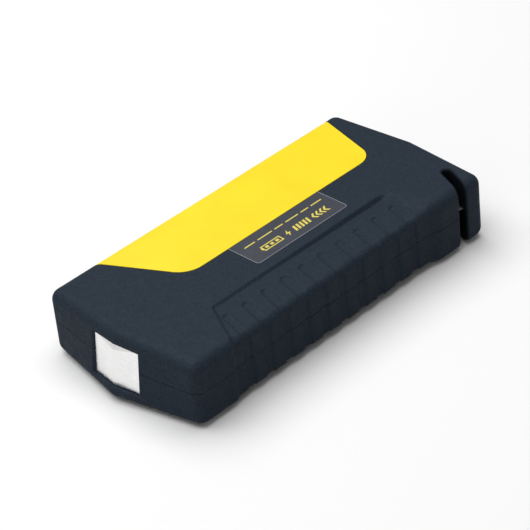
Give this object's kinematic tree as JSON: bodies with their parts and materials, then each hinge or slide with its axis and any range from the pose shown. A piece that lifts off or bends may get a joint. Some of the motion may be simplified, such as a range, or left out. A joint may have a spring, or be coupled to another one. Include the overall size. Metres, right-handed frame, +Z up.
{
  "type": "jump starter pack",
  "caption": "Hand-sized car battery booster with a window hammer head in its pointed end, a belt cutter slot and a row of covered ports.",
  "frame": {"origin": "under the middle of the casing's length and width, on the surface that the feet stand on", "axes": "+X towards the belt cutter end, -X towards the window hammer, -Y the grip side, +Y the port side, +Z up out of the top panel"},
  "size_m": [0.17, 0.08, 0.029],
  "materials": {
    "soft_shell": "soft-touch, fine grain",
    "panel": "smooth satin",
    "film": "smooth film with a fine pale border",
    "hammer_steel": "satin ground",
    "blade_steel": "ground",
    "bezel_plastic": "satin",
    "socket_plastic": "moulded",
    "contact_brass": "gold plated",
    "cover_rubber": "matte",
    "port_steel": "stamped",
    "port_insulator": "moulded",
    "button_plastic": "satin",
    "plunger_plastic": "moulded",
    "led_resin": "clear resin",
    "clear_plastic": "polished",
    "reflector_mirror": "mirror",
    "circuit_board": "solder mask",
    "red_insulation": "smooth",
    "black_insulation": "smooth",
    "cell_foil": "laminated foil",
    "tape": "adhesive tape",
    "tab_metal": "plated",
    "foam": "closed-cell",
    "ferrite": "sintered",
    "capacitor_sleeve": "shrink sleeve",
    "chip_resin": "moulded",
    "screw_steel": "zinc plated",
    "foot_rubber": "matte"
  },
  "bodies": {
    "casing": {"lower_shell": "soft_shell", "upper_shell": "soft_shell", "top_panel": "panel", "label_film": "film", "hammer_head": "hammer_steel", "cutter_blade": "blade_steel", "port_bezel": "bezel_plastic", "jump_socket": "socket_plastic", "contact_positive": "contact_brass", "contact_negative": "contact_brass", "usb_sleeve_1": "port_steel", "usb_sleeve_2": "port_steel", "usb_insulator_1": "port_insulator", "usb_insulator_2": "port_insulator", "input_jack": "bezel_plastic", "input_pin": "port_steel", "output_jack": "bezel_plastic", "output_pin": "port_steel", "button_switch": "port_steel", "selector_body": "port_steel", "level_leds": "led_resin", "level_light_guide": "clear_plastic", "button_board": "circuit_board", "flashlight_lens": "clear_plastic", "flashlight_reflector": "reflector_mirror", "flashlight_led": "led_resin", "flashlight_board": "circuit_board", "flashlight_leads": "red_insulation", "cell_1": "cell_foil", "cell_2": "cell_foil", "cell_3": "cell_foil", "cell_tapes": "tape", "cell_tabs": "tab_metal", "balance_board": "circuit_board", "foam_pad": "foam", "positive_lead": "red_insulation", "negative_lead": "black_insulation", "main_board": "circuit_board", "board_inductor": "ferrite", "board_capacitors": "capacitor_sleeve", "board_chips": "chip_resin", "board_screws": "screw_steel", "case_screws": "screw_steel", "foot_1": "foot_rubber", "foot_2": "foot_rubber", "foot_3": "foot_rubber", "foot_4": "foot_rubber"},
    "power_button": {"power_button": "button_plastic", "button_plunger": "plunger_plastic"},
    "voltage_selector": {"voltage_selector": "button_plastic"},
    "socket_cover": {"socket_cover": "cover_rubber"}
  },
  "joints": [
    {"name": "power_button_press", "type": "slide", "parent": "casing", "child": "power_button", "axis": [0, -1, 0], "range_m": [0, 0.0008], "stiffness_N_per_m": 1500, "springref_m": -0.0005},
    {"name": "voltage_selector_slide", "type": "slide", "parent": "casing", "child": "voltage_selector", "axis": [1, 0, 0], "range_m": [0, 0.004]},
    {"name": "socket_cover_hinge", "type": "hinge", "parent": "casing", "child": "socket_cover", "pos_m": [-0.0588, 0.0391, 0.0137], "axis": [0, 0, 1], "range_deg": [0, 110]}
  ]
}
